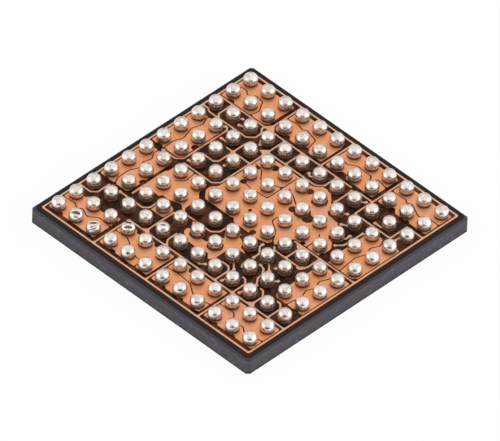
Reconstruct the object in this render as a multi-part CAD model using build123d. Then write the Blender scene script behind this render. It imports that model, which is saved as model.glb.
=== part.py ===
from build123d import *
import math
import os

# A wafer-level chip-scale ball grid chip, in millimetres.
# It lies on its back with the solder balls up. The origin is the middle of the back face, on the
# surface that the chip lies on, and +Z points out through the balls.

# Ball grid. The foot of a ball leaves a bare rim of its land all round.
ball_spacing = 0.40
row_letters = "ABCDEFGHJKLM"
ball_diameter = 0.25
land_diameter = 0.22
land_rim = 0.015
ball_sides = 6
ball_bands = 3
crown_latitude = math.radians(70)

# Body, from the back to the copper. The margins run from the outer balls' middles to the sawn sides.
side_margin = 0.316
end_margin = 0.341
die_thickness = 0.270
die_corner_cut = 0.050
die_shoulder = 0.036
film_thickness = 0.025
dielectric_thickness = 0.010
dielectric_setback = 0.046
copper_thickness = 0.010
via_width = 0.040
via_dot_width = 0.056

# Copper rules
ring_setback = 0.144
line_width = 0.032
copper_gap = 0.022
slit_width = 0.020

# Pin-1 dot in the film on the back
pin_dot_diameter = 0.35
pin_dot_depth = 0.006
pin_dot_inset = 0.65

# Sizes that follow
balls_per_side = len(row_letters)
last = balls_per_side - 1
body_length = last * ball_spacing + 2 * side_margin
body_width = last * ball_spacing + 2 * end_margin
die_top = film_thickness + die_thickness
dielectric_top = die_top + dielectric_thickness
copper_top = dielectric_top + copper_thickness
ball_radius = ball_diameter / 2
foot_radius = land_diameter / 2 - land_rim
ball_centre = copper_top + math.sqrt(ball_radius**2 - foot_radius**2)

# Where the copper ring runs, in steps of the ball grid. Ball A1 is at (0, 0), columns run along +X
# and rows along -Y.
ring_left = -(side_margin - ring_setback) / ball_spacing
ring_right = last - ring_left
ring_top = -(end_margin - ring_setback) / ball_spacing
ring_bottom = last - ring_top

# Lines of the ground copper. Each route is a chain of (column, row) places, and most of them run
# half a step away from the balls.
ground_lines = [
    # top strip
    [(2.50, ring_top), (2.50, 1.20), (2.26, 1.46)],
    [(2.50, 1.20), (2.76, 1.46)],
    [(ring_left, 1.46), (7.30, 1.46)],
    [(5.50, ring_top), (5.50, 1.46)],
    [(7.72, 1.46), (8.50, 1.46)],
    [(8.50, ring_top), (8.50, 2.48), (10.52, 2.48), (10.52, 1.50), (ring_right, 1.50)],
    # boxes of the third row
    [(ring_left, 2.34), (-0.10, 2.34), (0.06, 2.46), (0.60, 2.46)],
    [(0.43, 1.46), (0.43, 2.26), (0.62, 2.46), (2.20, 2.46), (2.48, 2.18), (2.48, 1.84), (2.28, 1.62),
     (2.28, 1.46)],
    [(3.46, 1.46), (3.46, 2.45), (3.46, 5.16), (3.20, 5.42), (1.56, 5.42)],
    [(3.46, 2.45), (6.20, 2.45), (6.47, 2.18), (6.47, 1.46)],
    [(4.47, 1.46), (4.47, 2.45)],
    # left of the centre
    [(2.48, 2.76), (2.48, 4.30), (2.32, 4.46), (1.62, 4.46)],
    [(2.08, 3.48), (3.46, 3.48)],
    # right side
    [(7.98, 5.44), (ring_right, 5.44)],
    [(8.46, 5.44), (8.46, 6.42)],
    [(7.66, 6.26), (7.82, 6.42), (9.22, 6.42), (9.46, 6.18), (9.46, 5.44)],
    # boxes of the tenth row
    [(ring_left, 9.42), (0.22, 9.42), (0.44, 9.20), (0.44, 8.52)],
    [(3.44, 7.78), (3.44, 9.46)],
    [(4.42, 8.60), (4.42, 9.16), (4.70, 9.46)],
    [(6.86, 8.46), (7.24, 8.46), (7.43, 8.66), (7.43, 9.46)],
    [(8.06, 8.50), (8.24, 8.50), (8.45, 8.72), (8.45, 9.46)],
    [(9.04, 8.46), (9.22, 8.46), (9.48, 8.74), (9.48, 9.46)],
    [(10.04, 8.50), (10.26, 8.50), (10.48, 8.74), (10.48, 9.46)],
    # bottom strip
    [(2.50, 9.46), (ring_right, 9.46)],
    [(2.50, 9.46), (2.50, ring_bottom)],
    [(5.50, 9.46), (5.50, ring_bottom)],
    [(8.50, 9.46), (8.50, ring_bottom)],
]

# Wide corners where ground lines meet
ground_gussets = [
    [(2.20, 1.50), (2.50, 1.08), (2.86, 1.50)],
    [(3.12, 2.60), (3.46, 2.26), (3.46, 2.72)],
    [(3.20, 9.50), (3.44, 9.22), (3.72, 9.50)],
    [(9.18, 9.50), (9.48, 9.16), (9.70, 9.50)],
    [(9.12, 6.46), (9.30, 6.30), (9.50, 6.24), (9.36, 6.54), (9.16, 6.54)],
    [(8.10, 5.40), (8.84, 5.40), (8.62, 5.66), (8.34, 5.66)],
]

# Planes of power and ground copper: the outline of each, in grid steps
planes = {
    "copper_plane_top_1": [(-0.34, -0.27), (2.28, -0.27), (2.28, 1.22), (2.10, 1.37), (-0.34, 1.37)],
    "copper_plane_top_2": [(2.50, -0.27), (5.22, -0.27), (5.34, 0.10), (5.34, 1.27), (2.50, 1.27)],
    "copper_plane_top_3": [(5.50, -0.27), (8.28, -0.27), (8.28, 1.27), (5.50, 1.27)],
    "copper_plane_top_4": [(8.50, -0.27), (11.32, -0.27), (11.32, 1.27), (8.50, 1.27)],
    "copper_plane_bottom_1": [
        (-0.34, 9.66), (1.00, 9.66), (1.30, 9.92), (1.60, 9.92), (1.80, 9.68), (2.27, 9.68),
        (2.27, 11.26), (-0.34, 11.26),
    ],
    "copper_plane_bottom_2": [(2.50, 9.66), (5.34, 9.66), (5.34, 11.26), (2.50, 11.26)],
    "copper_plane_bottom_3": [(5.50, 9.62), (8.34, 9.62), (8.34, 11.26), (5.50, 11.26)],
    "copper_plane_bottom_4": [(8.50, 9.62), (11.34, 9.62), (11.34, 11.26), (8.50, 11.26)],
    "copper_plane_left_1": [
        (-0.34, 2.72), (1.22, 2.72), (1.28, 3.10), (1.28, 5.20), (1.10, 5.36), (-0.34, 5.36),
    ],
    "copper_plane_left_2": [
        (-0.34, 5.64), (1.14, 5.64), (1.26, 5.90), (1.26, 8.20), (1.16, 8.32), (-0.34, 8.32),
    ],
    "copper_plane_right_1": [(9.72, 2.74), (11.36, 2.74), (11.36, 5.34), (9.72, 5.34)],
    "copper_plane_right_2": [(9.72, 5.62), (11.36, 5.62), (11.36, 8.34), (9.84, 8.34), (9.72, 8.20)],
    "copper_plane_inner_left": [
        (1.50, 5.54), (2.80, 5.54), (3.16, 5.66), (3.26, 5.90), (3.26, 6.20), (3.56, 6.50), (3.56, 7.30),
        (3.76, 7.50), (5.24, 7.50), (5.50, 7.24), (5.50, 6.54), (5.58, 6.54), (5.58, 7.28), (5.28, 7.58),
        (3.70, 7.58), (3.28, 7.22), (2.74, 7.42), (2.34, 7.42), (2.34, 7.56),
        (1.50, 7.56), (1.50, 8.26), (1.40, 8.26), (1.40, 6.34), (1.50, 6.20),
    ],
    "copper_plane_centre": [
        (3.54, 2.58), (6.16, 2.58), (6.46, 2.28), (6.94, 2.28), (7.66, 2.98), (7.66, 3.24), (8.30, 3.38),
        (8.62, 3.38), (8.80, 3.80), (8.80, 4.20), (9.20, 4.46), (9.34, 4.70), (9.34, 5.34), (7.96, 5.34),
        (7.62, 5.68), (7.62, 6.20), (7.40, 6.06), (7.34, 6.32), (6.90, 6.44), (5.60, 6.44), (5.50, 6.44),
        (5.30, 6.24), (5.22, 6.30), (3.70, 6.30), (3.34, 5.90), (3.34, 5.62), (3.54, 5.40),
    ],
    "copper_plane_lower_centre": [
        (5.74, 6.74), (6.26, 6.74), (6.50, 6.98), (6.92, 7.30), (7.20, 7.44), (6.60, 7.52), (6.52, 7.90),
        (6.52, 8.50), (6.36, 8.80), (6.10, 8.50), (5.60, 8.62), (5.00, 8.62), (4.48, 8.30), (4.48, 8.02),
        (5.52, 8.10), (5.76, 7.96), (5.76, 7.52), (5.94, 7.40), (5.74, 7.20),
    ],
    "copper_plane_lower_left": [
        (2.60, 7.64), (3.20, 7.64), (3.36, 7.80), (3.36, 8.36), (2.62, 8.36),
    ],
}

# Gaps etched through the planes, as routes, so that each plane falls into the nets that it carries
etched_slits = [
    # top strip
    [(ring_left, 0.50), (0.20, 0.42), (0.42, 0.60), (0.72, 0.38), (1.14, 0.44), (1.46, 0.96), (1.34, 1.50)],
    [(2.40, 0.48), (3.10, 0.34), (3.46, 0.46), (3.62, 0.34), (4.30, 0.52), (4.50, 1.50)],
    [(5.40, 0.44), (6.20, 0.60), (6.56, 0.36), (7.40, 0.40), (7.48, 0.62), (7.70, 0.34), (8.50, 0.50)],
    [(8.40, 0.40), (9.34, 0.36), (9.46, 0.48), (9.70, 0.38), (10.40, 0.72), (10.74, 0.46), (11.50, 0.52)],
    # bottom strip
    [(ring_left, 10.42), (0.30, 10.36), (0.56, 10.52), (0.74, 10.36), (1.20, 10.58), (1.60, 10.26),
     (2.40, 10.32)],
    [(2.40, 10.32), (3.20, 10.26), (4.30, 10.84), (4.62, 10.78), (4.66, 11.40)],
    [(5.40, 10.36), (6.20, 10.26), (6.90, 10.32), (7.60, 10.80), (8.40, 10.60)],
    [(8.40, 10.32), (9.30, 10.24), (9.54, 10.40), (9.46, 10.74), (10.20, 10.58), (10.50, 10.80),
     (11.50, 10.58)],
    # left and right sides
    [(0.36, 2.60), (0.28, 2.80), (0.46, 3.20), (0.30, 3.70), (0.50, 4.36), (0.34, 4.80), (0.36, 5.50)],
    [(0.34, 5.50), (0.32, 5.90), (0.52, 6.20), (0.40, 6.60), (0.58, 6.90), (0.36, 7.40), (0.38, 8.00),
     (0.60, 8.44)],
    [(10.34, 2.60), (10.58, 3.10), (10.40, 3.50), (10.54, 3.90), (10.38, 4.40), (10.52, 5.50)],
    [(10.36, 5.50), (10.58, 6.00), (10.38, 6.44), (10.58, 6.80), (10.40, 7.20), (10.56, 7.60), (10.42, 8.50)],
    # centre
    [(5.41, 2.70), (5.41, 4.42)],
    [(3.60, 3.30), (4.06, 3.40), (4.46, 3.86), (5.41, 3.56)],
    [(4.10, 4.44), (4.56, 4.50), (5.41, 4.42)],
    [(5.60, 3.36), (6.10, 3.60), (6.60, 3.92)],
    [(8.40, 4.40), (8.58, 4.66), (8.58, 5.50)],
    [(6.52, 4.86), (6.50, 5.24), (7.06, 5.58), (7.40, 6.12)],
    [(2.30, 5.40), (2.42, 6.10), (2.10, 6.44)],
]

# Pockets etched in the planes: the place and half width of each, in grid steps
etched_pockets = [
    # top strip
    (0.20, 1.44, 0.20), (3.30, 1.30, 0.20), (4.36, 1.30, 0.22), (6.48, 1.30, 0.26), (7.56, 1.40, 0.12),
    (9.30, 1.30, 0.24), (10.24, 1.36, 0.18),
    # bottom strip
    (0.26, 9.66, 0.14), (3.36, 9.66, 0.14), (4.40, 9.66, 0.16), (6.44, 9.70, 0.18), (0.28, 11.30, 0.18),
    (3.36, 11.34, 0.18), (6.24, 11.34, 0.18), (7.26, 11.34, 0.18), (9.26, 11.34, 0.16), (10.26, 11.34, 0.16),
    # sides
    (1.24, 2.86, 0.18), (1.24, 4.42, 0.16), (0.10, 5.44, 0.18), (1.26, 7.46, 0.14), (11.36, 5.34, 0.16),
    (0.06, 8.38, 0.12), (9.70, 5.20, 0.16), (10.96, 8.38, 0.14),
    # centre
    (4.36, 2.92, 0.17), (3.84, 3.42, 0.12), (4.04, 4.42, 0.14), (6.32, 2.88, 0.17), (8.36, 3.16, 0.18),
    (6.60, 4.14, 0.18), (7.42, 4.10, 0.24), (5.45, 5.46, 0.08), (8.30, 5.28, 0.12),
    (9.38, 5.20, 0.14), (6.46, 6.30, 0.14), (6.40, 6.80, 0.14),
]

# Balls that stand on a land of their own, marked o, row by row
lone_balls = [
    "............",
    "............",
    "oooooooooooo",
    "..oo...ooo..",
    "..oo...o.o..",
    "..oo........",
    "........oo..",
    "....oo.ooo..",
    "..o.oooooo..",
    "oooooooooooo",
    "............",
    "............",
]

# The short lines that lead from some of those lands to a via beside the ball
land_lines = {
    (1, 2): [(1.00, 2.00), (1.34, 1.78)],
    (2, 2): [(2.00, 2.00), (1.48, 2.14)],
    (3, 2): [(3.00, 2.00), (2.76, 2.18), (2.92, 2.36)],
    (6, 2): [(6.00, 2.00), (5.64, 2.24), (5.50, 2.12)],
    (8, 2): [(8.00, 2.00), (8.34, 1.66)],
    (10, 2): [(10.00, 2.00), (9.82, 2.28), (9.46, 2.28)],
    (11, 2): [(11.00, 2.00), (10.76, 2.14), (10.76, 2.44)],
    (2, 3): [(2.00, 3.00), (1.80, 3.24), (1.56, 3.24)],
    (8, 3): [(8.00, 3.00), (8.32, 2.72)],
    (9, 3): [(9.00, 3.00), (8.74, 3.26), (8.58, 3.34)],
    (3, 4): [(3.00, 4.00), (2.82, 4.32)],
    (9, 4): [(9.00, 4.00), (9.32, 3.84), (9.32, 3.58)],
    (2, 5): [(2.00, 5.00), (1.78, 5.16), (1.60, 5.16)],
    (8, 7): [(8.00, 7.00), (8.26, 7.16), (8.56, 7.46)],
    (9, 7): [(9.00, 7.00), (8.74, 7.06), (8.64, 7.16)],
    (5, 8): [(5.00, 8.00), (4.44, 7.66)],
    (7, 8): [(7.00, 8.00), (7.28, 8.20), (7.52, 8.44)],
    (8, 8): [(8.00, 8.00), (7.62, 8.10), (7.52, 7.90), (7.52, 7.60)],
    (9, 8): [(9.00, 8.00), (9.24, 7.62)],
    (6, 9): [(6.00, 9.00), (6.30, 9.24), (6.50, 9.06)],
    (8, 9): [(8.00, 9.00), (7.68, 9.06), (7.66, 9.26)],
    (9, 9): [(9.00, 9.00), (8.68, 9.06), (8.66, 9.26)],
}

# Lines that pass between balls with a via at each end
long_traces = [
    [(1.16, 2.62), (1.28, 2.62), (1.38, 2.74), (1.38, 5.24), (1.14, 5.48), (0.44, 5.48)],
    [(7.46, 1.62), (7.46, 2.58)],
    [(8.06, 7.46), (8.34, 7.54), (8.54, 7.86), (8.54, 8.08), (8.82, 8.44)],
    [(7.26, 6.52), (7.26, 6.70), (7.56, 7.02), (7.56, 7.34)],
    [(9.30, 4.42), (9.54, 4.16), (9.58, 3.10)],
    [(1.04, 8.54), (2.36, 8.54), (2.56, 8.32), (2.56, 7.76)],
]

# One dip down to the die for each net of a plane
plane_vias = {
    "copper_plane_top_1": [(0.50, 0.00), (0.60, 1.10)],
    "copper_plane_top_2": [(3.50, 0.10), (3.56, 1.10)],
    "copper_plane_top_3": [(6.50, 0.10), (7.30, 1.10)],
    "copper_plane_top_4": [(9.50, 0.10), (9.60, 1.10)],
    "copper_plane_bottom_1": [(0.50, 9.90), (0.56, 11.00)],
    "copper_plane_bottom_2": [(4.60, 10.20), (3.40, 11.00)],
    "copper_plane_bottom_3": [(7.50, 10.10), (6.60, 11.00)],
    "copper_plane_bottom_4": [(10.50, 10.10), (9.60, 11.10)],
    "copper_plane_left_1": [(0.10, 3.50), (0.60, 3.40)],
    "copper_plane_left_2": [(0.10, 6.50), (0.60, 7.40)],
    "copper_plane_right_1": [(10.20, 3.50), (10.84, 3.50)],
    "copper_plane_right_2": [(10.20, 6.50), (10.84, 6.50)],
    "copper_plane_inner_left": [(2.60, 6.50)],
    "copper_plane_centre": [(4.50, 3.50), (5.84, 4.50), (9.14, 4.60)],
    "copper_plane_lower_centre": [(6.60, 7.30)],
    "copper_plane_lower_left": [(2.80, 8.20)],
}

ground_vias = [(5.50, 0.80), (5.50, 10.50)]


def on_grid(column, row):
    """The place of a grid step on the chip, with the balls towards the viewer."""
    return Vector((column - last / 2) * ball_spacing, (last / 2 - row) * ball_spacing)


def sawn_outline(setback):
    """The body's rectangle, each side moved in by a setback."""
    return Rectangle(body_length - 2 * setback, body_width - 2 * setback)


def facing_up(face):
    return face if face.normal_at().Z > 0 else -face


def patch(corners):
    """A flat face through corners given in grid steps."""
    return facing_up(Face(Wire.make_polygon([on_grid(*corner) for corner in corners])))


def ribbon(route, width, overrun=0):
    """A line of even width along a route, with mitred corners and square ends past its last points."""
    points = [on_grid(*place) for place in route]
    headings = [(end - start).normalized() for start, end in zip(points, points[1:])]
    points[0] -= headings[0] * overrun
    points[-1] += headings[-1] * overrun
    left, right = [], []
    for index, point in enumerate(points):
        before = headings[max(index - 1, 0)].rotate(Axis.Z, 90)
        after = headings[min(index, len(headings) - 1)].rotate(Axis.Z, 90)
        side = (before + after) * (width / 2 / (1 + before.dot(after)))
        left.append(point + side)
        right.append(point - side)
    return facing_up(Face(Wire.make_polygon(right + left[::-1])))


def hexagon(place, width):
    """A round land or pocket as six sides, given its width across the flats."""
    return Pos(on_grid(*place)) * RegularPolygon(width / 2, 6, major_radius=False)


def square(place, width):
    return Pos(on_grid(*place)) * Rectangle(width, width)


def joined(faces):
    """One flat sketch out of many faces."""
    return Sketch() + list(faces)


def ground_outline(spread=0):
    """Ring, lines and wide corners of the ground copper, each side moved out by a spread."""
    line = line_width + 2 * spread
    ring = sawn_outline(ring_setback - line / 2) - sawn_outline(ring_setback + line / 2)
    gussets = [patch(corners) for corners in ground_gussets]
    if spread:
        gussets = [offset(gusset, spread, kind=Kind.INTERSECTION) for gusset in gussets]
    return joined([ring, *[ribbon(route, line, spread) for route in ground_lines], *gussets])


def land_outline(ball, spread=0):
    """The land of a lone ball, with the line to the dot over its via where it has one."""
    faces = [hexagon(ball, land_diameter + 2 * spread)]
    if ball in land_lines:
        route = land_lines[ball]
        faces += [ribbon(route, line_width + 2 * spread), square(route[-1], via_dot_width + 2 * spread)]
    return joined(faces)


def trace_outline(route, spread=0):
    """A line between the dots over two vias."""
    dots = [square(end, via_dot_width + 2 * spread) for end in (route[0], route[-1])]
    return joined([ribbon(route, line_width + 2 * spread), *dots])


def plated(outline, vias):
    """Copper of even thickness on the dielectric, with square legs down to the die at its vias."""
    copper = extrude(Pos(0, 0, dielectric_top) * outline, copper_thickness)
    legs = [extrude(Pos(0, 0, die_top) * square(via, via_width), dielectric_thickness) for via in vias]
    return copper + legs


def chip_outline(setback=0):
    """The outline of the body or a layer on it, its corners cut."""
    return chamfer(sawn_outline(setback).vertices(), die_corner_cut)


def silicon_die():
    """The sawn die, with the slanted shoulder that the first saw cut leaves all round its face."""
    die = extrude(Pos(0, 0, film_thickness) * chip_outline(), die_thickness)
    return chamfer(die.faces().sort_by(Axis.Z)[-1].edges(), die_shoulder)


def backside_film():
    """The film on the die's back, cut with it, with a shallow pin-1 dot under ball A1."""
    film = extrude(chip_outline(), film_thickness)
    dot_centre = Pos(pin_dot_inset - body_length / 2, body_width / 2 - pin_dot_inset, 0)
    return film - extrude(dot_centre * Circle(pin_dot_diameter / 2), pin_dot_depth)


def dielectric_layer(vias):
    """The polymer between die and copper, set back from the sawn edge and open at each via."""
    openings = joined(square(via, via_width) for via in vias)
    sheet = chip_outline(dielectric_setback) - openings
    return extrude(Pos(0, 0, die_top) * sheet, dielectric_thickness)


def ball_ring(radius, height, start):
    """The corners of one level ring of a ball, with the area of the circle that it stands for."""
    turn = 2 * math.pi / ball_sides
    corner_radius = radius * math.sqrt(turn / math.sin(turn))
    angles = [(start + side) * turn for side in range(ball_sides)]
    return [Vector(corner_radius * math.cos(a), corner_radius * math.sin(a), height) for a in angles]


def solder_ball():
    """A ball cut flat where it sits on its land, its round sides made of flat facets in bands.

    The bands run from the foot at even steps of latitude, and the flat crown is at the true height.
    Each ring of corners is turned half a side from the one below, so the ball is round from above.
    """
    foot_latitude = -math.acos(foot_radius / ball_radius)
    step = (crown_latitude - foot_latitude) / ball_bands
    rings = []
    for band in range(ball_bands):
        latitude = foot_latitude + step * band
        height = ball_centre + ball_radius * math.sin(latitude)
        rings.append(ball_ring(ball_radius * math.cos(latitude), height, band / 2))
    rings.append(ball_ring(ball_radius * math.cos(crown_latitude), ball_centre + ball_radius, ball_bands / 2))
    facets = [Face(Wire.make_polygon(rings[0][::-1])), Face(Wire.make_polygon(rings[-1]))]
    for lower, upper in zip(rings, rings[1:]):
        for side in range(ball_sides):
            following = (side + 1) % ball_sides
            facets.append(Face(Wire.make_polygon([lower[side], lower[following], upper[side]])))
            facets.append(Face(Wire.make_polygon([lower[following], upper[following], upper[side]])))
    return Solid(Shell(facets))


def write_node(name, solids):
    """One STEP file for a piece, or for a group of like pieces."""
    export_step(Compound(label=name, children=list(solids)), f"parts/{name}.step")


# Ground copper first, because the other nets keep clear of it
ground_clearing = ground_outline(copper_gap)
ground_net = plated(ground_outline(), ground_vias)

# Lands of the lone balls and the long traces
balls = [(column, row) for row in range(balls_per_side) for column in range(balls_per_side)]
land_vias = {
    (column, row): land_lines.get((column, row), [(column, row)])[-1]
    for column, row in balls
    if lone_balls[row][column] == "o"
}
land_nets = {ball: plated(land_outline(ball) - ground_clearing, [via]) for ball, via in land_vias.items()}
trace_ends = [(route[0], route[-1]) for route in long_traces]
trace_nets = [
    plated(trace_outline(route) - ground_clearing, ends) for route, ends in zip(long_traces, trace_ends)
]

# Planes, cut clear of all that and etched into their nets, but whole under each ball
small_clearings = joined(
    [land_outline(ball, copper_gap) for ball in land_vias]
    + [trace_outline(route, copper_gap) for route in long_traces]
)
ball_lands = joined(hexagon(ball, land_diameter) for ball in balls if ball not in land_vias)
pockets = joined(hexagon((column, row), 2 * half * ball_spacing) for column, row, half in etched_pockets)
etched = joined(ribbon(route, slit_width) for route in etched_slits) + (pockets - ball_lands)
plane_nets = {
    name: plated(joined([patch(corners)]) - ground_clearing - small_clearings - etched, plane_vias[name])
    for name, corners in planes.items()
}

os.makedirs("parts", exist_ok=True)

# Body
all_vias = [via for vias in plane_vias.values() for via in vias]
all_vias += list(land_vias.values()) + [end for ends in trace_ends for end in ends] + ground_vias
write_node("backside_film", [backside_film()])
write_node("silicon_die", [silicon_die()])
write_node("dielectric_layer", [dielectric_layer(all_vias)])

# Copper: the ground, each plane with its nets, the small lands by row of balls, and the long traces
write_node("copper_ground_grid", ground_net.solids())
for name, net in plane_nets.items():
    write_node(name, net.solids())
for row, letter in enumerate(row_letters):
    lands = [solid for ball, net in land_nets.items() if ball[1] == row for solid in net.solids()]
    if lands:
        write_node(f"copper_lands_row_{letter.lower()}", lands)
write_node("copper_traces", [solid for net in trace_nets for solid in net.solids()])

# Balls, one node for each lettered row
one_ball = solder_ball()
for row, letter in enumerate(row_letters):
    places = [on_grid(column, row) for column in range(balls_per_side)]
    write_node(f"solder_balls_row_{letter.lower()}", [Pos(place) * one_ball for place in places])
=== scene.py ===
"""Looks of a wafer-level ball grid chip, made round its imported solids.

The chip lies on its back with the solder balls up. Each group of like pieces and the stage is an
operator, and the sizes and colours that a user would change are in the scene's property groups.
"""

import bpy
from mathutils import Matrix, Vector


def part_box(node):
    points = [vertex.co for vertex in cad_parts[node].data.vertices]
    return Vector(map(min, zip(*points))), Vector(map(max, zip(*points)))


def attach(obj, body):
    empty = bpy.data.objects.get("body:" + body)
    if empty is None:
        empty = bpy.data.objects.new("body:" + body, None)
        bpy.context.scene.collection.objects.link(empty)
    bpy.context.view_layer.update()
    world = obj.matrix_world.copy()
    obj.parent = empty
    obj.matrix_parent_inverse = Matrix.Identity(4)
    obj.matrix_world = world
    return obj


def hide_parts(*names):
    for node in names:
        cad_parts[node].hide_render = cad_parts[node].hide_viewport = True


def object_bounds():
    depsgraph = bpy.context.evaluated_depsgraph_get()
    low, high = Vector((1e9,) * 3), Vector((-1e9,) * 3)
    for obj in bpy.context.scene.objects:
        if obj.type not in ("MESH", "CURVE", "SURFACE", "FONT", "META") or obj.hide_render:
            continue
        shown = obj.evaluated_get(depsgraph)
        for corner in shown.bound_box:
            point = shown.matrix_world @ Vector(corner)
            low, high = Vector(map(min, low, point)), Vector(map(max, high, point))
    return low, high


bl_info = {
    "name": "Ball Grid Chip",
    "version": (1, 0, 0),
    "blender": (4, 5, 0),
    "location": "3D View > Sidebar > Chip",
    "description": "Dresses a wafer-level ball grid chip: solder, copper, polymer and silicon",
    "category": "Object",
}

import math

import bmesh
import bpy
from bpy.props import FloatProperty, FloatVectorProperty, PointerProperty
from mathutils import Matrix, Vector, noise

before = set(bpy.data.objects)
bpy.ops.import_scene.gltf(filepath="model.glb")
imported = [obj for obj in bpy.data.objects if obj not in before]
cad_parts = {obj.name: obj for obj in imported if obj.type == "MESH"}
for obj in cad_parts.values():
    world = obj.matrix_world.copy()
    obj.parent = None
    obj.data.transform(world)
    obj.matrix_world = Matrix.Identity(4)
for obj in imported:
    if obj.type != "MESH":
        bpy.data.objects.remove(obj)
cad_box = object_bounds()

MM = 0.001
ROWS = "abcdefghjklm"
BALLS_PER_SIDE = len(ROWS)

# The ball grid, the levels of the layers and the ring's outer corner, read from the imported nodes
first_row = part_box(f"solder_balls_row_{ROWS[0]}")
last_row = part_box(f"solder_balls_row_{ROWS[-1]}")
ball_spacing = (first_row[0].y - last_row[0].y) / (BALLS_PER_SIDE - 1)
copper_top = first_row[0].z
crown_height = first_row[1].z
die_base, die_top = (corner.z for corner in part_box("silicon_die"))
ring_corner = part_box("copper_ground_grid")[1]

# Balls marked by handling, by (column, row). Each groove gives, in ball radii, its rise above the
# ball's middle as seen from the worn side, its half length, its half width and its depth, and then
# its slant.
WORN_BALLS = {
    (1, 11): [(0.28, 0.78, 0.22, 0.26, -0.28)],
    (2, 11): [
        (0.55, 0.90, 0.15, 0.20, 0.00),
        (0.12, 1.00, 0.08, 0.05, 0.40),
        (-0.24, 1.00, 0.10, 0.07, 0.35),
    ],
    (3, 10): [
        (0.76, 0.70, 0.15, 0.24, -0.18),
        (0.08, 0.85, 0.16, 0.20, -0.04),
        (-0.62, 0.22, 0.13, 0.12, 0.00),
    ],
    (4, 9): [
        (0.52, 0.55, 0.12, 0.16, -0.10),
        (-0.20, 0.30, 0.10, 0.08, 0.50),
    ],
}

# Past this share of its depth, the inside of a groove is scraped bare
SCRAPED_FROM = 0.45
# A corner of the copper that turns less than the first angle stays as it is, and one that turns
# more than the second is a sharp one
LEAST_TURN = math.radians(12)
SHARP_TURN = math.radians(75)
# The rounds of corners are made in this many sizes, each smaller than the last by the step, and
# the first few of them in more segments
CORNER_SIZES = 9
CORNER_STEP = math.sqrt(2)
FINE_SIZES = 4
# Two rounds share a wall, so each takes just under half of it at most
WALL_SHARE = 0.48


def grid_place(column, row, height=0.0):
    """The place of a step of the ball grid. Ball A1 is at (0, 0), and columns run along +X."""
    middle = (BALLS_PER_SIDE - 1) / 2
    return Vector(((column - middle) * ball_spacing, (middle - row) * ball_spacing, height))


def linear(hex_colour):
    """An sRGB hex colour as the linear red, green, blue and alpha that the shaders take."""
    channels = [int(hex_colour[start:start + 2], 16) / 255 for start in (1, 3, 5)]
    return (*[c / 12.92 if c <= 0.04045 else ((c + 0.055) / 1.055) ** 2.4 for c in channels], 1.0)


def length(name, description, millimetres):
    """A length that a user may set, with its default given in millimetres."""
    return FloatProperty(
        name=name, description=description, default=millimetres * MM, precision=6, unit="LENGTH"
    )


def angle(name, description, degrees):
    """An angle that a user may set, with its default given in degrees."""
    return FloatProperty(
        name=name, description=description, default=math.radians(degrees), subtype="ANGLE"
    )


def share(name, description, value):
    """A share or brightness that a user may set."""
    return FloatProperty(name=name, description=description, default=value, min=0, subtype="FACTOR")


def colour(name, description, hex_colour):
    """A colour that a user may set, with its default given as sRGB hex."""
    return FloatVectorProperty(
        name=name, description=description, default=linear(hex_colour),
        subtype="COLOR", size=4, min=0, max=1,
    )


class ChipSolder(bpy.types.PropertyGroup):
    """Sizes and colours of the solder balls."""

    ball_diameter: length("Ball diameter", "Diameter of a ball at its widest", 0.25)
    wobble: length("Wobble", "How far a reflowed ball departs from a true ball", 0.0016)
    grain: length("Grain", "Size of the frozen grains that show on a ball", 0.028)
    # Painted shade: below this height the ball is painted darker and less metallic
    foot_height: length("Foot height", "How far flux residue climbs a ball", 0.110)
    wear_turn: angle("Wear turn", "Turn of the side on which the worn balls are scraped", 43.53)
    wear_rise: angle("Wear rise", "Height of that side above the horizon", 42.47)
    wear_roll: angle("Wear roll", "Slant of all the scrapes", 2.39)
    bright: colour("Bright solder", "Freshly reflowed solder", "#FBF5EE")
    dull: colour("Dull solder", "Solder with a skin of oxide", "#DED3C9")
    rosy: colour("Rosy solder", "Pinkish solder that some balls show", "#F7E6E0")
    # Colour of the painted shade on the ball's foot, also the colour of the small dark pits
    foot: colour("Foot", "Flux residue on the foot of a ball and in its pits", "#5C4A3E")
    scraped: colour("Scraped solder", "Floor of a groove", "#62584F")


class ChipCopper(bpy.types.PropertyGroup):
    """Sizes and colours of the plated copper."""

    corner_radius: length("Corner radius", "Round of a corner seen from above", 0.080)
    sharp_radius: length("Sharp corner radius", "Round of a corner that turns sharply", 0.030)
    rim_radius: length("Rim radius", "Round of the upper rim of every line and plane", 0.003)
    # Painted shade: a dark brown ring round each ball's foot on the copper, with this reach
    contact_shade_reach: length("Flux reach", "How far flux reaches from the middle of a ball", 0.138)
    plane: colour("Plane copper", "Orange of the planes", "#FFAB6F")
    pink: colour("Pink copper", "Pink patches of the planes", "#FFB48A")
    # Painted highlight: the ring and lines are painted paler than the planes, for the light that
    # their narrow domed tops catch
    line: colour("Line copper", "The paler copper of ring and lines", "#EAC2A4")
    # Colour of the painted shade ring round each ball
    contact_shade: colour("Flux residue", "Brown residue round each ball", "#3C1E0F")


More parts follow.
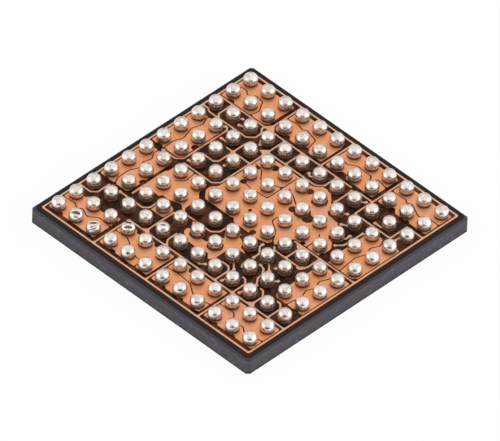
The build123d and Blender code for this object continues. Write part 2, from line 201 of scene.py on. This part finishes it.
class ChipBody(bpy.types.PropertyGroup):
    """Sizes and colours of the die, the polymer on it and the film on its back."""

    shoulder_height: length(
        "Shoulder height", "Height of the slanted shoulder of the first saw cut", 0.036
    )
    silicon: colour("Silicon", "Sawn side of the die", "#514B54")
    # Painted shade: the sawn side is painted darker towards the back
    silicon_low_shade: colour("Low silicon", "Sawn side where it nears the back", "#443F47")
    silicon_pale: colour("Pale silicon", "Small chips along the saw cut", "#7A7280")
    shoulder: colour("Shoulder", "Rough floor of the first saw cut", "#423B43")
    polymer: colour("Polymer", "Dark brown polymer between the copper", "#2A1408")
    polymer_tint: colour("Polymer tint", "Patches where deeper copper shows through", "#643418")
    polymer_rim: colour("Polymer rim", "Polymer outside the copper ring", "#281C1A")
    film: colour("Back film", "Matt black film on the back", "#1C1B1E")
    film_pale: colour("Film filler", "Paler grains of filler in the film", "#34333A")
    dot: colour("Pin 1 dot", "Laser-marked floor of the plain pin 1 dot", "#8A888C")
    dot_diameter: length("Dot diameter", "Diameter of the pin 1 dot", 0.35)
    dot_inset: length("Dot inset", "From each side of the chip to the middle of the dot", 0.65)


class ChipStage(bpy.types.PropertyGroup):
    """Camera, lamps and floor."""

    azimuth: angle("Azimuth", "Camera's turn round the chip", 43.53)
    elevation: angle("Elevation", "Camera's height above the horizon", 42.47)
    roll: angle("Roll", "Camera's roll", 2.39)
    distance: length("Distance", "From the camera to the middle of the copper", 276)
    aim_right: length("Aim right", "How far the chip's middle lies right of the picture's", 0.002)
    aim_up: length("Aim up", "How far the chip's middle lies above the picture's", 0.151)
    lens: FloatProperty(
        name="Lens", description="Focal length on a 36 mm sensor", default=1222.3, unit="CAMERA"
    )
    lamp_distance: length("Lamp distance", "From each soft box to the chip", 60)
    lamp_width: length("Lamp width", "Width of each soft box", 55)
    lamp_left: share("Left lamp", "Brightness of the left soft box, where 1 is white", 0.76)
    lamp_right: share("Right lamp", "Brightness of the right soft box, where 1 is white", 0.96)
    sky: share("Sky", "Brightness of the studio above the chip", 0.97)
    walls: share("Walls", "Brightness of the studio's side walls", 0.88)
    horizon: share("Horizon", "How much light comes from low behind, beside the sky", 0.28)
    left_wall: share("Left wall", "How much light the left wall gives, beside the right one", 0.82)
    opening: share("Opening", "How much light comes from the open front, beside the walls", 0.02)
    floor_radius: length("Floor radius", "Radius of the white floor", 80)
    floor_drop: length("Floor drop", "Gap between the floor and the chip's back", 0.002)
    floor: colour("Floor", "White floor", "#FAFAFA")
    floor_glow: share("Floor glow", "How far the floor is white whatever shadow falls on it", 0.94)


def add_node(tree, kind, inputs=None, **settings):
    """A shader node with its settings and links.

    An input is given by its name or number. Its value may be a socket or a node, whose first live
    output is then linked.
    """
    made = tree.nodes.new(kind)
    for setting, value in settings.items():
        setattr(made, setting, value)
    for key, value in (inputs or {}).items():
        if isinstance(key, int):
            socket = made.inputs[key]
        else:
            socket = next(s for s in made.inputs if s.enabled and s.name == key)
        if isinstance(value, bpy.types.Node):
            value = next(s for s in value.outputs if s.enabled)
        if isinstance(value, bpy.types.NodeSocket):
            tree.links.new(value, socket)
        else:
            socket.default_value = value
    return made


def per(size):
    """The scale that gives a noise pattern features of a real size."""
    return 1 / size


def blank_material(name):
    """A new material and its empty node tree."""
    material = bpy.data.materials.new(name)
    material.use_nodes = True
    material.node_tree.nodes.clear()
    return material, material.node_tree


def reflowed_solder(name, solder):
    """Tin, silver and copper solder, frozen from the melt.

    It is bright, with cream and pinkish patches, frozen grains that break up its reflections and
    small dark pits. Towards its foot it is painted dark brown and less metallic, as painted shade
    where the ball meets its land.
    """
    material, tree = blank_material(name)
    place = add_node(tree, "ShaderNodeTexCoord").outputs["Object"]
    clouds = add_node(
        tree, "ShaderNodeTexNoise", {"Vector": place, "Scale": per(0.10 * MM), "Detail": 3.0}
    )
    patches = add_node(
        tree, "ShaderNodeMapRange", {"Value": clouds, "From Min": 0.40, "From Max": 0.62}
    )
    oxidised = add_node(
        tree, "ShaderNodeMix", data_type="RGBA",
        inputs={0: patches, 6: solder.bright, 7: solder.dull},
    ).outputs[2]
    drift = add_node(
        tree, "ShaderNodeTexNoise", {"Vector": place, "Scale": per(0.35 * MM), "Detail": 1.0}
    )
    rosy = add_node(
        tree, "ShaderNodeMapRange",
        {"Value": drift, "From Min": 0.38, "From Max": 0.62, "To Min": 0.0, "To Max": 0.8},
    )
    metal = add_node(
        tree, "ShaderNodeMix", data_type="RGBA", inputs={0: rosy, 6: oxidised, 7: solder.rosy}
    ).outputs[2]
    height = add_node(tree, "ShaderNodeSeparateXYZ", {"Vector": place}).outputs["Z"]
    # Painted shade: the ball is painted dark brown towards its foot, where it is shaded and mirrors
    # shaded copper
    foot = add_node(
        tree, "ShaderNodeMapRange", interpolation_type="SMOOTHSTEP",
        inputs={
            "Value": height, "From Min": copper_top, "From Max": copper_top + solder.foot_height,
            "To Min": 1.0, "To Max": 0.0,
        },
    )
    # Painted shade: the foot is made less metallic, so it mirrors less of the copper below it and
    # stays dark
    metallic = add_node(tree, "ShaderNodeMapRange", {"Value": foot, "To Min": 1.0, "To Max": 0.25})
    # Real tin grains are about 0.01 mm, too fine to show here, so they are drawn coarser
    grain = add_node(
        tree, "ShaderNodeTexNoise", {"Vector": place, "Scale": per(solder.grain), "Detail": 4.0}
    )
    pits = add_node(
        tree, "ShaderNodeMapRange",
        {"Value": grain, "From Min": 0.63, "From Max": 0.70, "To Min": 0.0, "To Max": 0.6},
    )
    # The painted foot shade and the pits together
    darkened = add_node(tree, "ShaderNodeMath", {0: foot, 1: pits}, operation="MAXIMUM")
    skin = add_node(
        tree, "ShaderNodeMix", data_type="RGBA", inputs={0: darkened, 6: metal, 7: solder.foot}
    ).outputs[2]
    rough = add_node(
        tree, "ShaderNodeMapRange",
        {"Value": grain, "From Min": 0.35, "From Max": 0.65, "To Min": 0.13, "To Max": 0.42},
    )
    bump = add_node(
        tree, "ShaderNodeBump", {"Height": grain, "Strength": 0.45, "Distance": 0.003 * MM}
    )
    shader = add_node(
        tree, "ShaderNodeBsdfPrincipled",
        {"Base Color": skin, "Metallic": metallic, "Roughness": rough, "Normal": bump},
    )
    add_node(tree, "ShaderNodeOutputMaterial", {"Surface": shader})
    return material


def scraped_solder(name, solder):
    """Solder smeared by something hard: dull grey, with a fine torn grain."""
    material, tree = blank_material(name)
    place = add_node(tree, "ShaderNodeTexCoord").outputs["Object"]
    grain = add_node(
        tree, "ShaderNodeTexNoise", {"Vector": place, "Scale": per(0.012 * MM), "Detail": 3.0}
    )
    bump = add_node(
        tree, "ShaderNodeBump", {"Height": grain, "Strength": 0.5, "Distance": 0.002 * MM}
    )
    shader = add_node(
        tree, "ShaderNodeBsdfPrincipled",
        {"Base Color": solder.scraped, "Metallic": 1.0, "Roughness": 0.38, "Normal": bump},
    )
    add_node(tree, "ShaderNodeOutputMaterial", {"Surface": shader})
    return material


def plated_copper(name, copper, first, second):
    """Electroplated copper under a clear polymer coat.

    It is satin, with pink patches, a fine matt grain and, round each ball, a dark brown ring of
    painted shade. The coat adds a thin gloss and scatters light over the metal, so the metallic
    share is below one.
    """
    material, tree = blank_material(name)
    place = add_node(tree, "ShaderNodeTexCoord").outputs["Object"]
    clouds = add_node(
        tree, "ShaderNodeTexNoise", {"Vector": place, "Scale": per(0.22 * MM), "Detail": 4.0}
    )
    patches = add_node(
        tree, "ShaderNodeMapRange", {"Value": clouds, "From Min": 0.42, "From Max": 0.62}
    )
    metal = add_node(
        tree, "ShaderNodeMix", data_type="RGBA", inputs={0: patches, 6: first, 7: second}
    ).outputs[2]

    # Distance from the nearest ball in grid steps, as balls stand half a step off the whole steps
    steps = add_node(
        tree, "ShaderNodeVectorMath", {0: place, "Scale": per(ball_spacing)}, operation="SCALE"
    )
    within = add_node(tree, "ShaderNodeVectorMath", {0: steps}, operation="FRACTION")
    centred = add_node(
        tree, "ShaderNodeVectorMath", {0: within, 1: (0.5, 0.5, 0.0)}, operation="SUBTRACT"
    )
    level = add_node(
        tree, "ShaderNodeVectorMath", {0: centred, 1: (1.0, 1.0, 0.0)}, operation="MULTIPLY"
    )
    away = add_node(tree, "ShaderNodeVectorMath", {0: level}, operation="LENGTH").outputs["Value"]
    # Painted shade: the copper is painted dark brown in a ring round each ball, where the ball
    # shades it and it mirrors the ball's dark underside
    reach = copper.contact_shade_reach / ball_spacing
    ring = add_node(
        tree, "ShaderNodeMapRange", interpolation_type="SMOOTHSTEP",
        inputs={
            "Value": away, "From Min": 0.7 * reach, "From Max": reach,
            "To Min": 0.75, "To Max": 0.0,
        },
    )
    darkened = add_node(
        tree, "ShaderNodeMix", data_type="RGBA", inputs={0: ring, 6: metal, 7: copper.contact_shade}
    ).outputs[2]

    # Plating grain is a few micrometres, too fine to show, so it is drawn at 0.02 mm
    grain = add_node(
        tree, "ShaderNodeTexNoise", {"Vector": place, "Scale": per(0.02 * MM), "Detail": 3.0}
    )
    rough = add_node(
        tree, "ShaderNodeMapRange",
        {"Value": grain, "From Min": 0.3, "From Max": 0.7, "To Min": 0.40, "To Max": 0.56},
    )
    bump = add_node(
        tree, "ShaderNodeBump", {"Height": grain, "Strength": 0.35, "Distance": 0.001 * MM}
    )
    shader = add_node(
        tree, "ShaderNodeBsdfPrincipled",
        {
            "Base Color": darkened, "Metallic": 0.6, "Roughness": rough, "Normal": bump,
            "Coat Weight": 0.2, "Coat Roughness": 0.15,
        },
    )
    add_node(tree, "ShaderNodeOutputMaterial", {"Surface": shader})
    return material


def cured_polymer(name, body):
    """Polyimide spun on the wafer and cured, smooth and glossy.

    It is dark brown, warmer where deeper copper shows through, and grey black outside the ring,
    where only the die lies under it.
    """
    material, tree = blank_material(name)
    place = add_node(tree, "ShaderNodeTexCoord").outputs["Object"]
    clouds = add_node(
        tree, "ShaderNodeTexNoise", {"Vector": place, "Scale": per(0.12 * MM), "Detail": 3.0}
    )
    patches = add_node(
        tree, "ShaderNodeMapRange", {"Value": clouds, "From Min": 0.45, "From Max": 0.65}
    )
    inner = add_node(
        tree, "ShaderNodeMix", data_type="RGBA",
        inputs={0: patches, 6: body.polymer, 7: body.polymer_tint},
    ).outputs[2]

    # How far a point lies outside the copper ring, on either axis
    quarter = add_node(tree, "ShaderNodeVectorMath", {0: place}, operation="ABSOLUTE")
    beyond = add_node(
        tree, "ShaderNodeVectorMath", {0: quarter, 1: ring_corner}, operation="SUBTRACT"
    )
    sides = add_node(tree, "ShaderNodeSeparateXYZ", {"Vector": beyond}).outputs
    outside = add_node(tree, "ShaderNodeMath", {0: sides["X"], 1: sides["Y"]}, operation="MAXIMUM")
    rim = add_node(
        tree, "ShaderNodeMapRange", {"Value": outside, "From Min": 0.0, "From Max": 0.01 * MM}
    )
    base = add_node(
        tree, "ShaderNodeMix", data_type="RGBA", inputs={0: rim, 6: inner, 7: body.polymer_rim}
    ).outputs[2]
    # The low specular level keeps the dark gaps between the copper dark, as in the real stack
    shader = add_node(
        tree, "ShaderNodeBsdfPrincipled",
        {"Base Color": base, "Roughness": 0.28, "Specular IOR Level": 0.13},
    )
    add_node(tree, "ShaderNodeOutputMaterial", {"Surface": shader})
    return material


def sawn_silicon(name, body):
    """Silicon cut with a diamond saw.

    It is matt purple grey with small paler chips and darker on the shoulder that the first cut
    leaves. Painted shade makes it darker towards the back.
    """
    material, tree = blank_material(name)
    place = add_node(tree, "ShaderNodeTexCoord").outputs["Object"]
    height = add_node(tree, "ShaderNodeSeparateXYZ", {"Vector": place}).outputs["Z"]
    # Painted shade: the side's colour runs from the darker low silicon at the back to the silicon
    # at the top
    lit_by_height = add_node(
        tree, "ShaderNodeMapRange", {"Value": height, "From Min": die_base, "From Max": die_top}
    )
    side = add_node(
        tree, "ShaderNodeMix", data_type="RGBA",
        inputs={0: lit_by_height, 6: body.silicon_low_shade, 7: body.silicon},
    ).outputs[2]
    clouds = add_node(
        tree, "ShaderNodeTexNoise", {"Vector": place, "Scale": per(0.10 * MM), "Detail": 6.0}
    )
    chips = add_node(
        tree, "ShaderNodeMapRange",
        {"Value": clouds, "From Min": 0.54, "From Max": 0.72, "To Min": 0.0, "To Max": 0.45},
    )
    chipped = add_node(
        tree, "ShaderNodeMix", data_type="RGBA", inputs={0: chips, 6: side, 7: body.silicon_pale}
    ).outputs[2]
    groove = die_top - body.shoulder_height
    upper = add_node(
        tree, "ShaderNodeMapRange",
        {"Value": height, "From Min": groove - 0.003 * MM, "From Max": groove + 0.008 * MM},
    )
    base = add_node(
        tree, "ShaderNodeMix", data_type="RGBA", inputs={0: upper, 6: chipped, 7: body.shoulder}
    ).outputs[2]
    grain = add_node(
        tree, "ShaderNodeTexNoise", {"Vector": place, "Scale": per(0.03 * MM), "Detail": 4.0}
    )
    bump = add_node(
        tree, "ShaderNodeBump", {"Height": grain, "Strength": 0.5, "Distance": 0.002 * MM}
    )
    shader = add_node(
        tree, "ShaderNodeBsdfPrincipled",
        {"Base Color": base, "Roughness": 0.62, "Specular IOR Level": 0.3, "Normal": bump},
    )
    add_node(tree, "ShaderNodeOutputMaterial", {"Surface": shader})
    return material


def back_film(name, body):
    """Filled epoxy film pressed on the back of the wafer.

    It is matt black with a faint mottled grain of the filler, and the laser has turned the floor of
    the plain pin 1 dot grey.
    """
    material, tree = blank_material(name)
    place = add_node(tree, "ShaderNodeTexCoord").outputs["Object"]
    grain = add_node(
        tree, "ShaderNodeTexNoise", {"Vector": place, "Scale": per(0.04 * MM), "Detail": 4.0}
    )
    filler = add_node(
        tree, "ShaderNodeMapRange",
        {"Value": grain, "From Min": 0.50, "From Max": 0.70, "To Min": 0.0, "To Max": 0.6},
    )
    mottled = add_node(
        tree, "ShaderNodeMix", data_type="RGBA", inputs={0: filler, 6: body.film, 7: body.film_pale}
    ).outputs[2]
    # The dot is a shallow recess, so its floor is what lies near it and above the film's back
    dot_place = Vector((cad_box[0][0] + body.dot_inset, cad_box[1][1] - body.dot_inset, 0))
    from_dot = add_node(
        tree, "ShaderNodeVectorMath", {0: place, 1: dot_place}, operation="DISTANCE"
    )
    reach = 0.52 * body.dot_diameter
    in_dot = add_node(
        tree, "ShaderNodeMath", {0: from_dot.outputs["Value"], 1: reach}, operation="LESS_THAN"
    )
    height = add_node(tree, "ShaderNodeSeparateXYZ", {"Vector": place}).outputs["Z"]
    in_recess = add_node(
        tree, "ShaderNodeMath", {0: height, 1: 0.003 * MM}, operation="GREATER_THAN"
    )
    marked = add_node(tree, "ShaderNodeMath", {0: in_dot, 1: in_recess}, operation="MULTIPLY")
    base = add_node(
        tree, "ShaderNodeMix", data_type="RGBA", inputs={0: marked, 6: mottled, 7: body.dot}
    ).outputs[2]
    rough = add_node(
        tree, "ShaderNodeMapRange",
        {"Value": grain, "From Min": 0.3, "From Max": 0.7, "To Min": 0.62, "To Max": 0.78},
    )
    bump = add_node(
        tree, "ShaderNodeBump", {"Height": grain, "Strength": 0.4, "Distance": 0.002 * MM}
    )
    shader = add_node(
        tree, "ShaderNodeBsdfPrincipled",
        {"Base Color": base, "Roughness": rough, "Specular IOR Level": 0.3, "Normal": bump},
    )
    add_node(tree, "ShaderNodeOutputMaterial", {"Surface": shader})
    return material


def white_floor(name, stage):
    """White paper sweep, nearly pure white to the camera and in reflections, faintly shadowed."""
    material, tree = blank_material(name)
    path = add_node(tree, "ShaderNodeLightPath").outputs
    seen = add_node(
        tree, "ShaderNodeMath", {0: path["Is Camera Ray"], 1: path["Is Glossy Ray"]},
        operation="ADD",
    )
    shown = add_node(
        tree, "ShaderNodeMath", {0: seen, 1: path["Is Transmission Ray"]}, operation="ADD"
    )
    factor = add_node(
        tree, "ShaderNodeMath", {0: shown, 1: stage.floor_glow}, operation="MULTIPLY"
    )
    matt = add_node(tree, "ShaderNodeBsdfDiffuse", {"Color": stage.floor})
    glow = add_node(tree, "ShaderNodeEmission", {"Color": (1.0, 1.0, 1.0, 1.0), "Strength": 1.0})
    mixed = add_node(tree, "ShaderNodeMixShader", {0: factor, 1: matt, 2: glow})
    add_node(tree, "ShaderNodeOutputMaterial", {"Surface": mixed})
    return material


def new_piece(name, bm, *materials):
    """An object at the origin with the mesh of a bmesh, which is freed."""
    mesh = bpy.data.meshes.new(name)
    bm.to_mesh(mesh)
    bm.free()
    for material in materials:
        mesh.materials.append(material)
    piece = bpy.data.objects.new(name, mesh)
    bpy.context.scene.collection.objects.link(piece)
    return piece


def view_axes(turn, rise, roll):
    """Right, up and back of a view that stands at a turn and rise, rolled about its own line."""
    reach = math.cos(rise)
    back = Vector((math.sin(turn) * reach, -math.cos(turn) * reach, math.sin(rise)))
    level = Vector((math.cos(turn), math.sin(turn), 0))
    right = level * math.cos(roll) + back.cross(level) * math.sin(roll)
    return right, back.cross(right), back


def cut_groove(verts, centre, radius, axes, groove):
    """Presses a groove with soft ends into the side of a ball that faces along the last axis.

    Gives back the vertices of the groove's scraped floor.
    """
    along, across, facing = axes
    rise, half_length, half_width, depth, slant = groove
    floor = set()
    for vert in verts:
        place = (vert.co - centre) / radius
        if place.dot(facing) < 0:
            continue
        run = place.dot(along)
        offset = (place.dot(across) - rise - slant * run) / half_width
        fade = max(0.0, 1 - (run / half_length) ** 2)
        pressed = depth * fade * math.exp(-offset**2)
        vert.co -= facing * pressed * radius
        if pressed > SCRAPED_FROM * depth:
            floor.add(vert)
    return floor


def add_ball(bm, place, solder, axes):
    """A ball of frozen solder, a little out of true, with its grooves if it is a worn one."""
    radius = solder.ball_diameter / 2
    centre = grid_place(*place, crown_height - radius)
    grooves = WORN_BALLS.get(place, [])
    made = bmesh.ops.create_icosphere(
        bm, subdivisions=5 if grooves else 4, radius=radius, matrix=Matrix.Translation(centre)
    )["verts"]
    for vert in made:
        away = (vert.co - centre).normalized()
        vert.co += away * solder.wobble * noise.noise(vert.co * per(0.09 * MM))
    for groove in grooves:
        floor = cut_groove(made, centre, radius, axes, groove)
        for face in {face for vert in floor for face in vert.link_faces}:
            if floor.issuperset(face.verts):
                face.material_index = 1


def flatten_feet(bm):
    """Cuts the balls level where they sit on their lands, and closes the cuts."""
    everything = bm.verts[:] + bm.edges[:] + bm.faces[:]
    cut = bmesh.ops.bisect_plane(
        bm, geom=everything, dist=1e-9, plane_co=(0, 0, copper_top), plane_no=(0, 0, 1),
        clear_inner=True,
    )
    rims = [part for part in cut["geom_cut"] if isinstance(part, bmesh.types.BMEdge)]
    feet = bmesh.ops.holes_fill(bm, edges=rims)["faces"]
    for face in bm.faces:
        face.smooth = True
    for face in feet:
        face.smooth = False
        for edge in face.edges:
            edge.smooth = False


class CHIP_OT_solder_balls(bpy.types.Operator):
    """Makes the smooth solder balls, one piece for each lettered row"""

    bl_idname = "chip.solder_balls"
    bl_label = "Solder Balls"

    def execute(self, context):
        solder = context.scene.chip_solder
        axes = view_axes(solder.wear_turn, solder.wear_rise, solder.wear_roll)
        finishes = [
            reflowed_solder("reflowed tin silver solder, 0.03 mm grain", solder),
            scraped_solder("scraped tin silver solder, 0.012 mm grain", solder),
        ]
        for row, letter in enumerate(ROWS):
            bm = bmesh.new()
            for column in range(BALLS_PER_SIDE):
                add_ball(bm, (column, row), solder, axes)
            flatten_feet(bm)
            piece = new_piece(f"reflowed_balls_row_{letter}", bm, *finishes)
            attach(piece, "root")
            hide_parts(f"solder_balls_row_{letter}")
        return {"FINISHED"}


def corner_reach(edge, copper):
    """How far the round of an upright corner may reach along its walls, or 0 for no round."""
    lower, upper = sorted((vert.co for vert in edge.verts), key=lambda co: co.z)
    is_upright = (upper - lower).xy.length < 1e-9 and upper.z > copper_top - 1e-8
    if not is_upright or len(edge.link_faces) != 2:
        return 0.0
    turn = edge.calc_face_angle(0.0)
    if turn < LEAST_TURN:
        return 0.0
    radius = copper.corner_radius if turn < SHARP_TURN else copper.sharp_radius
    shortest_wall = min(face.calc_area() for face in edge.link_faces) / edge.calc_length()
    return min(radius * math.tan(turn / 2), WALL_SHARE * shortest_wall)


def round_corners(bm, copper):
    """Rounds the upright corners of a flat piece of copper, the widest rounds first.

    A bevel gives all its edges one width, so the corners are sorted into sizes. The size is kept on
    the edges, counted from 1, because a bevel renews them, and 0 is an edge that is done.
    """
    radius = copper.corner_radius
    size_layer = bm.edges.layers.int.new("corner_size")
    for edge in bm.edges:
        reach = corner_reach(edge, copper)
        smaller = math.ceil(math.log(radius / reach, CORNER_STEP)) if reach > 0 else CORNER_SIZES
        edge[size_layer] = max(smaller, 0) + 1
    for smaller in range(CORNER_SIZES):
        corners = [edge for edge in bm.edges if edge[size_layer] == smaller + 1]
        if corners:
            bmesh.ops.bevel(
                bm, geom=corners, offset=radius / CORNER_STEP**smaller, offset_type="OFFSET",
                affect="EDGES", segments=4 if smaller < FINE_SIZES else 2, profile=0.5,
                clamp_overlap=False, material=-1,
            )
            for edge in bm.edges:
                if edge[size_layer] == smaller + 1:
                    edge[size_layer] = 0


def round_rims(bm, radius):
    """Rounds the upper rim, where the top meets a wall."""
    bm.normal_update()
    rims = []
    for edge in bm.edges:
        if len(edge.link_faces) == 2:
            slopes = sorted(face.normal.z for face in edge.link_faces)
            if slopes[1] > 0.99 and abs(slopes[0]) < 0.01:
                rims.append(edge)
    bmesh.ops.bevel(
        bm, geom=rims, offset=radius, offset_type="OFFSET", affect="EDGES",
        segments=2, profile=0.5, clamp_overlap=False, material=-1,
    )


def cut_in_strips(bm, low, high, strips=13):
    """Cuts a flat piece along and across, and marks the cuts as seams that no later face crosses.

    The ground copper's top would otherwise be one face of hundreds of corners, which doesn't
    triangulate cleanly.
    """
    for axis in (0, 1):
        for strip in range(1, strips):
            place = low.lerp(high, strip / strips)
            normal = Vector((axis == 0, axis == 1, 0))
            everything = bm.verts[:] + bm.edges[:] + bm.faces[:]
            cut = bmesh.ops.bisect_plane(
                bm, geom=everything, dist=1e-9, plane_co=place, plane_no=normal
            )
            for part in cut["geom_cut"]:
                if isinstance(part, bmesh.types.BMEdge):
                    part.seam = True


class CHIP_OT_copper(bpy.types.Operator):
    """Rounds the corners and rims of the copper nets and gives them their plated finish"""

    bl_idname = "chip.copper"
    bl_label = "Copper Nets"

    def execute(self, context):
        copper = context.scene.chip_copper
        planes = plated_copper(
            "electroplated copper plane, 0.22 mm patches", copper, copper.plane, copper.pink
        )
        # The lines' paler colour is a painted highlight
        lines = plated_copper(
            "electroplated copper line, 0.22 mm patches", copper, copper.line, copper.pink
        )
        for name, node in sorted(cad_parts.items()):
            if not name.startswith("copper"):
                continue
            bm = bmesh.new()
            bm.from_mesh(node.data)
            bmesh.ops.remove_doubles(bm, verts=bm.verts, dist=1e-8)
            if name == "copper_ground_grid":
                cut_in_strips(bm, *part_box(name))
            bmesh.ops.dissolve_limit(
                bm, angle_limit=math.radians(1), verts=bm.verts, edges=bm.edges, delimit={"SEAM"}
            )
            round_corners(bm, copper)
            round_rims(bm, copper.rim_radius)
            bmesh.ops.triangulate(bm, faces=bm.faces, ngon_method="EAR_CLIP")
            piece = new_piece(f"plated_{name}", bm, planes if "plane" in name else lines)
            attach(piece, "root")
            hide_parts(name)
        return {"FINISHED"}


class CHIP_OT_body(bpy.types.Operator):
    """Gives the die, the polymer and the film on the back their finish"""

    bl_idname = "chip.body"
    bl_label = "Body"

    def execute(self, context):
        body = context.scene.chip_body
        finishes = {
            "silicon_die": sawn_silicon("sawn silicon, 0.10 mm chips", body),
            "dielectric_layer": cured_polymer("spun polyimide, 0.12 mm patches", body),
            "backside_film": back_film("filled epoxy film, 0.04 mm grain", body),
        }
        for name, finish in finishes.items():
            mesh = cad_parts[name].data
            mesh.materials.clear()
            mesh.materials.append(finish)
        return {"FINISHED"}


def add_soft_box(name, direction, stage, radiance):
    """A square area lamp turned to the chip. Its face is as bright as a white of that radiance."""
    lamp = bpy.data.lights.new(name, "AREA")
    lamp.shape = "SQUARE"
    lamp.size = stage.lamp_width
    lamp.energy = 4 * radiance * stage.lamp_width**2
    box = bpy.data.objects.new(name, lamp)
    box.location = direction.normalized() * stage.lamp_distance
    box.rotation_mode = "QUATERNION"
    box.rotation_quaternion = direction.to_track_quat("Z", "Y")
    bpy.context.scene.collection.objects.link(box)


def add_studio(scene, stage, back, level_right):
    """A white tent round the chip, dimmer at the left, low behind and most of all low in front.

    Each limit is the cosine of the angle between a direction and the axis that it is measured from.
    """
    world = bpy.data.worlds.new("studio")
    world.use_nodes = True
    tree = world.node_tree
    tree.nodes.clear()
    path = add_node(tree, "ShaderNodeLightPath").outputs
    direction = add_node(tree, "ShaderNodeTexCoord").outputs["Generated"]
    sideways = add_node(
        tree, "ShaderNodeVectorMath", {0: direction, 1: level_right}, operation="DOT_PRODUCT"
    )
    beside = add_node(tree, "ShaderNodeMath", {0: sideways.outputs["Value"]}, operation="ABSOLUTE")
    tent = add_node(
        tree, "ShaderNodeMapRange", interpolation_type="SMOOTHSTEP",
        inputs={
            "Value": beside, "From Min": 0.10, "From Max": 0.75,
            "To Min": stage.sky, "To Max": stage.walls,
        },
    )
    low_front = Vector((back.x, back.y, 0)).normalized()
    forward = add_node(
        tree, "ShaderNodeVectorMath", {0: direction, 1: low_front}, operation="DOT_PRODUCT"
    )
    open_front = add_node(
        tree, "ShaderNodeMapRange", interpolation_type="SMOOTHSTEP",
        inputs={
            "Value": forward.outputs["Value"], "From Min": 0.72, "From Max": 0.94,
            "To Min": 1.0, "To Max": stage.opening,
        },
    )
    low_back = add_node(
        tree, "ShaderNodeMapRange",
        {
            "Value": forward.outputs["Value"], "From Min": -1.0, "From Max": -0.76,
            "To Min": stage.horizon, "To Max": 1.0,
        },
    )
    dim_left = add_node(
        tree, "ShaderNodeMapRange",
        {
            "Value": sideways.outputs["Value"], "From Min": -0.8, "From Max": 0.2,
            "To Min": stage.left_wall, "To Max": 1.0,
        },
    )
    shaped = add_node(tree, "ShaderNodeMath", {0: tent, 1: open_front}, operation="MULTIPLY")
    sided = add_node(tree, "ShaderNodeMath", {0: shaped, 1: dim_left}, operation="MULTIPLY")
    light = add_node(tree, "ShaderNodeMath", {0: sided, 1: low_back}, operation="MULTIPLY")
    # The metal mirrors this tent, so only the camera's own rays see plain white instead
    shown = add_node(
        tree, "ShaderNodeMath", {0: path["Is Camera Ray"], 1: light}, operation="MAXIMUM"
    )
    shade = add_node(
        tree, "ShaderNodeBackground", {"Color": (1.0, 1.0, 1.0, 1.0), "Strength": shown}
    )
    add_node(tree, "ShaderNodeOutputWorld", {"Surface": shade})
    scene.world = world


class CHIP_OT_stage(bpy.types.Operator):
    """Sets the camera, the soft boxes, the tent round the chip and the white floor"""

    bl_idname = "chip.stage"
    bl_label = "Stage"

    def execute(self, context):
        scene = context.scene
        stage = scene.chip_stage
        right, up, back = view_axes(stage.azimuth, stage.elevation, stage.roll)

        lens = bpy.data.cameras.new("camera")
        lens.lens = stage.lens
        lens.clip_start = stage.distance / 10
        lens.clip_end = stage.distance * 10
        camera = bpy.data.objects.new("camera", lens)
        place = Vector((0, 0, copper_top)) + back * stage.distance
        place = place - right * stage.aim_right - up * stage.aim_up
        turned = Matrix((right, up, back)).transposed().to_4x4()
        camera.matrix_world = Matrix.Translation(place) @ turned
        scene.collection.objects.link(camera)
        scene.camera = camera

        level_right = Vector((math.cos(stage.azimuth), math.sin(stage.azimuth), 0))
        # Each soft box stands to one side and a little to the camera's side of the chip
        forward, aside = back * 0.35, level_right * 0.94
        add_soft_box("soft_box_right", forward + aside, stage, stage.lamp_right)
        add_soft_box("soft_box_left", forward - aside, stage, stage.lamp_left)
        add_studio(scene, stage, back, level_right)

        bm = bmesh.new()
        level = Matrix.Translation((0, 0, -stage.floor_drop))
        bmesh.ops.create_circle(
            bm, cap_ends=True, segments=64, radius=stage.floor_radius, matrix=level
        )
        new_piece("floor", bm, white_floor("white paper sweep", stage))
        scene.view_settings.view_transform = "Standard"
        return {"FINISHED"}


class CHIP_PT_sidebar(bpy.types.Panel):
    """Lists the chip's operators and their settings"""

    bl_idname = "CHIP_PT_sidebar"
    bl_label = "Ball Grid Chip"
    bl_space_type = "VIEW_3D"
    bl_region_type = "UI"
    bl_category = "Chip"

    def draw(self, context):
        for operator in OPERATORS:
            self.layout.operator(operator.bl_idname)
        for group in GROUPS:
            settings = getattr(context.scene, group)
            for name in settings.bl_rna.properties.keys():
                if name not in ("rna_type", "name"):
                    self.layout.prop(settings, name)


GROUPS = {
    "chip_solder": ChipSolder,
    "chip_copper": ChipCopper,
    "chip_body": ChipBody,
    "chip_stage": ChipStage,
}
OPERATORS = (CHIP_OT_stage, CHIP_OT_body, CHIP_OT_copper, CHIP_OT_solder_balls)


def register():
    for made_class in (*GROUPS.values(), *OPERATORS, CHIP_PT_sidebar):
        bpy.utils.register_class(made_class)
    for name, group in GROUPS.items():
        setattr(bpy.types.Scene, name, PointerProperty(type=group))


def unregister():
    for name in GROUPS:
        delattr(bpy.types.Scene, name)
    for made_class in reversed((*GROUPS.values(), *OPERATORS, CHIP_PT_sidebar)):
        bpy.utils.unregister_class(made_class)


def main():
    register()
    bpy.ops.chip.stage()
    bpy.ops.chip.body()
    bpy.ops.chip.copper()
    bpy.ops.chip.solder_balls()


if __name__ == "__main__":
    main()
